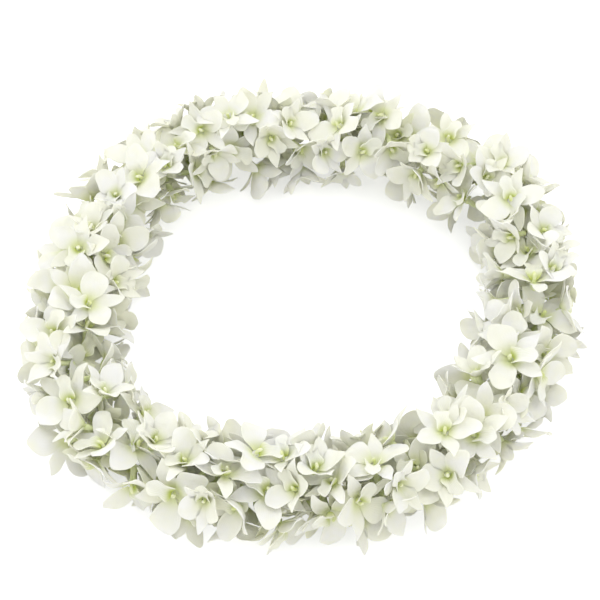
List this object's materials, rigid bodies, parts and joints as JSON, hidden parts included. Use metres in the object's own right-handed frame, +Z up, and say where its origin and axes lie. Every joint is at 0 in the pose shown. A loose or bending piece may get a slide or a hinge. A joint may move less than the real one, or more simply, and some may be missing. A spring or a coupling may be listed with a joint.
{
  "type": "fresh flower lei",
  "caption": "Fresh flower lei: white orchids with yellow-green throats, threaded close together on a knotted loop of string and lying as an oval ring with an open middle.",
  "frame": {"origin": "middle of the ring, on the surface that the lei lies on", "axes": "+Z up from that surface; the ring is level, and its long axis is turned 38 degrees from +X towards +Y"},
  "size_m": [0.3905, 0.3867, 0.0682],
  "materials": {
    "white_petal": "soft waxy petal, white with a cream-green shade and a yellow-green throat",
    "cotton_string": "twisted cotton, off-white"
  },
  "bodies": {
    "root": {"lei_string": "cotton_string", "orchid_01": "white_petal", "orchid_02": "white_petal", "orchid_03": "white_petal", "orchid_04": "white_petal", "orchid_05": "white_petal", "orchid_06": "white_petal", "orchid_07": "white_petal", "orchid_08": "white_petal", "orchid_09": "white_petal", "orchid_10": "white_petal", "orchid_11": "white_petal", "orchid_12": "white_petal", "orchid_13": "white_petal", "orchid_14": "white_petal", "orchid_15": "white_petal", "orchid_16": "white_petal", "orchid_17": "white_petal", "orchid_18": "white_petal", "orchid_19": "white_petal", "orchid_20": "white_petal", "orchid_21": "white_petal", "orchid_22": "white_petal", "orchid_23": "white_petal", "orchid_24": "white_petal", "orchid_25": "white_petal", "orchid_26": "white_petal", "orchid_27": "white_petal", "orchid_28": "white_petal", "orchid_29": "white_petal", "orchid_30": "white_petal", "orchid_31": "white_petal", "orchid_32": "white_petal", "orchid_33": "white_petal", "orchid_34": "white_petal", "orchid_35": "white_petal", "orchid_36": "white_petal", "orchid_37": "white_petal", "orchid_38": "white_petal", "orchid_39": "white_petal", "orchid_40": "white_petal", "orchid_41": "white_petal", "orchid_42": "white_petal", "orchid_43": "white_petal", "orchid_44": "white_petal", "orchid_45": "white_petal", "orchid_46": "white_petal", "orchid_47": "white_petal", "orchid_48": "white_petal", "orchid_49": "white_petal", "orchid_50": "white_petal", "orchid_51": "white_petal", "orchid_52": "white_petal", "orchid_53": "white_petal", "orchid_54": "white_petal", "orchid_55": "white_petal"}
  },
  "joints": []
}
